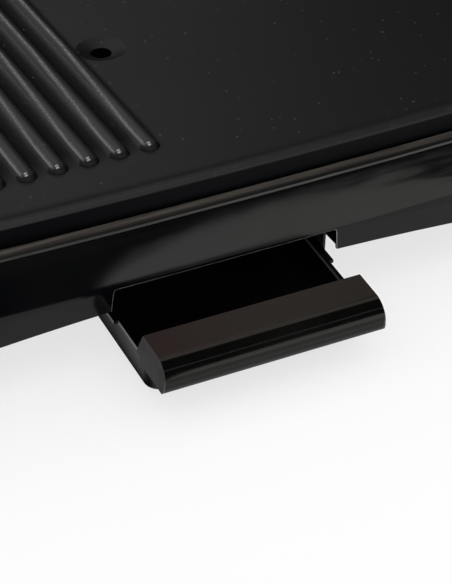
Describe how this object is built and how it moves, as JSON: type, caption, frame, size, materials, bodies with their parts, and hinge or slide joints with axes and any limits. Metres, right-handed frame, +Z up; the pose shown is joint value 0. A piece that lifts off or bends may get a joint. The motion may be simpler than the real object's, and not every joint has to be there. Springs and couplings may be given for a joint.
{
  "type": "teppanyaki grill",
  "caption": "Table-top electric hot plate, part ribbed and part flat, in a low bowed housing with an arched lower edge, side handles and a drip tray that slides out at the front.",
  "frame": {"origin": "on the table, under the middle of the whole grill with its drip tray at the rest position", "axes": "+X along the long side to the right, +Y to the back, away from the tray's side, +Z up"},
  "size_m": [0.556, 0.3172, 0.0815],
  "materials": {
    "housing": "glossy moulded black",
    "bezel": "satin black with fine lengthwise lines",
    "cooking_plate": "cast aluminium with a dark non-stick coat",
    "spacer_resin": "brown heat-proof resin",
    "steel_screws": "plated steel",
    "shield_sheet": "plain sheet",
    "element_sheath": "heat-dulled sheath",
    "clamp_steel": "pressed steel",
    "pin_steel": "bright pins",
    "ceramic": "glazed ceramic",
    "tray_plastic": "glossy black",
    "grip_plastic": "glossy brownish black",
    "rail_plastic": "moulded black",
    "foot_rubber": "matt",
    "handle_plastic": "fine-grained black",
    "socket_plastic": "heat-proof black"
  },
  "bodies": {
    "base": {"base_frame": "housing", "bezel_ring": "bezel", "grill_plate": "cooking_plate", "plate_spacers": "spacer_resin", "plate_screws": "steel_screws", "heat_shield": "shield_sheet", "heat_shield_screws": "steel_screws", "heating_element": "element_sheath", "element_clamps": "clamp_steel", "element_clamp_screws": "steel_screws", "terminal_pins": "pin_steel", "terminal_insulators": "ceramic", "tray_rail_left": "rail_plastic", "tray_rail_right": "rail_plastic", "tray_rail_screws": "steel_screws", "foot_front_left": "foot_rubber", "foot_back_left": "foot_rubber", "foot_front_right": "foot_rubber", "foot_back_right": "foot_rubber", "foot_screws": "steel_screws", "side_handle_left": "handle_plastic", "side_handle_right": "handle_plastic", "side_handle_screws": "steel_screws", "socket_shroud": "socket_plastic", "socket_screws": "steel_screws"},
    "tray": {"drip_tray": "tray_plastic", "tray_grip": "grip_plastic", "tray_grip_screws": "steel_screws"}
  },
  "joints": [
    {"name": "tray_slide", "type": "slide", "parent": "base", "child": "tray", "axis": [0, -0.9956, -0.0941], "range_m": [-0.0465, 0.024]}
  ]
}
